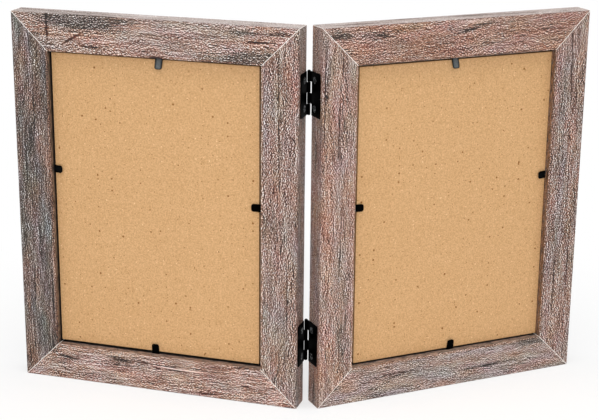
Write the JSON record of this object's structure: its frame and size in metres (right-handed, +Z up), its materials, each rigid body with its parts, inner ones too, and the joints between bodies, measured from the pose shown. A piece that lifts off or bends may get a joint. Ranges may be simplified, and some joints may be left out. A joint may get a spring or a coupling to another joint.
{
  "type": "hinged double photo frame",
  "caption": "Two upright photo frames in weathered wood moulding, joined edge to edge by butt hinges so that they stand open like a book; bendable tabs hold each backing board.",
  "frame": {"origin": "on the standing surface, below the middle of the pair's bounding box", "axes": "+Z up along the hinge pins; +X to the right frame; +Y to the picture side, so the backs and the hinges' closed edge look along -Y"},
  "size_m": [0.3364, 0.073, 0.224],
  "materials": {
    "weathered_wood": "matt printed weathered-wood foil on moulding",
    "fibreboard": "raw pressed fibre, matt",
    "glass": "clear, polished",
    "paper": "plain uncoated",
    "black_metal": "gloss black lacquer on steel",
    "bare_steel": "bare strip"
  },
  "bodies": {
    "left_frame": {"left_top_rail": "weathered_wood", "left_bottom_rail": "weathered_wood", "left_hinge_stile": "weathered_wood", "left_outer_stile": "weathered_wood", "left_glass": "glass", "left_paper_insert": "paper", "left_backing_board": "fibreboard", "left_corner_nails": "bare_steel", "left_top_tab_shank": "black_metal", "left_bottom_tab_shank": "black_metal", "left_hinge_tab_shank": "black_metal", "left_outer_tab_shank": "black_metal", "upper_hinge_left_leaf": "black_metal", "upper_hinge_left_screws": "black_metal", "upper_hinge_pin": "black_metal", "lower_hinge_left_leaf": "black_metal", "lower_hinge_left_screws": "black_metal", "lower_hinge_pin": "black_metal"},
    "right_frame": {"right_top_rail": "weathered_wood", "right_bottom_rail": "weathered_wood", "right_hinge_stile": "weathered_wood", "right_outer_stile": "weathered_wood", "right_glass": "glass", "right_paper_insert": "paper", "right_backing_board": "fibreboard", "right_corner_nails": "bare_steel", "right_top_tab_shank": "black_metal", "right_bottom_tab_shank": "black_metal", "right_hinge_tab_shank": "black_metal", "right_outer_tab_shank": "black_metal", "upper_hinge_right_leaf": "black_metal", "upper_hinge_right_screws": "black_metal", "lower_hinge_right_leaf": "black_metal", "lower_hinge_right_screws": "black_metal"},
    "left_top_tab": {"left_top_tab_flap": "black_metal"},
    "left_bottom_tab": {"left_bottom_tab_flap": "black_metal"},
    "left_hinge_tab": {"left_hinge_tab_flap": "black_metal"},
    "left_outer_tab": {"left_outer_tab_flap": "black_metal"},
    "right_top_tab": {"right_top_tab_flap": "black_metal"},
    "right_bottom_tab": {"right_bottom_tab_flap": "black_metal"},
    "right_hinge_tab": {"right_hinge_tab_flap": "black_metal"},
    "right_outer_tab": {"right_outer_tab_flap": "black_metal"}
  },
  "joints": [
    {"name": "fold", "type": "hinge", "parent": "left_frame", "child": "right_frame", "pos_m": [0, -0.02284, 0.112], "axis": [0, 0, -1], "range_deg": [-140, 41]},
    {"name": "tab_left_top", "type": "hinge", "parent": "left_frame", "child": "left_top_tab", "pos_m": [-0.08324, -0.00346, 0.2017], "axis": [-0.9367, 0.3502, 0], "range_deg": [-20, 70]},
    {"name": "tab_left_bottom", "type": "hinge", "parent": "left_frame", "child": "left_bottom_tab", "pos_m": [-0.08839, -0.00154, 0.0223], "axis": [0.9367, -0.3502, 0], "range_deg": [-6, 84]},
    {"name": "tab_left_hinge", "type": "hinge", "parent": "left_frame", "child": "left_hinge_tab", "pos_m": [-0.02572, -0.02497, 0.1192], "axis": [0, 0, 1], "range_deg": [-5, 85]},
    {"name": "tab_left_outer", "type": "hinge", "parent": "left_frame", "child": "left_outer_tab", "pos_m": [-0.14599, 0.02, 0.1313], "axis": [0, 0, -1], "range_deg": [-10, 80]},
    {"name": "tab_right_top", "type": "hinge", "parent": "right_frame", "child": "right_top_tab", "pos_m": [0.08464, -0.00294, 0.2017], "axis": [-0.9367, -0.3502, 0], "range_deg": [-20, 70]},
    {"name": "tab_right_bottom", "type": "hinge", "parent": "right_frame", "child": "right_bottom_tab", "pos_m": [0.08895, -0.00133, 0.0223], "axis": [0.9367, 0.3502, 0], "range_deg": [-8, 82]},
    {"name": "tab_right_hinge", "type": "hinge", "parent": "right_frame", "child": "right_hinge_tab", "pos_m": [0.02572, -0.02497, 0.1186], "axis": [0, 0, -1], "range_deg": [-5, 85]},
    {"name": "tab_right_outer", "type": "hinge", "parent": "right_frame", "child": "right_outer_tab", "pos_m": [0.14599, 0.02, 0.1255], "axis": [0, 0, 1], "range_deg": [-10, 80]}
  ]
}
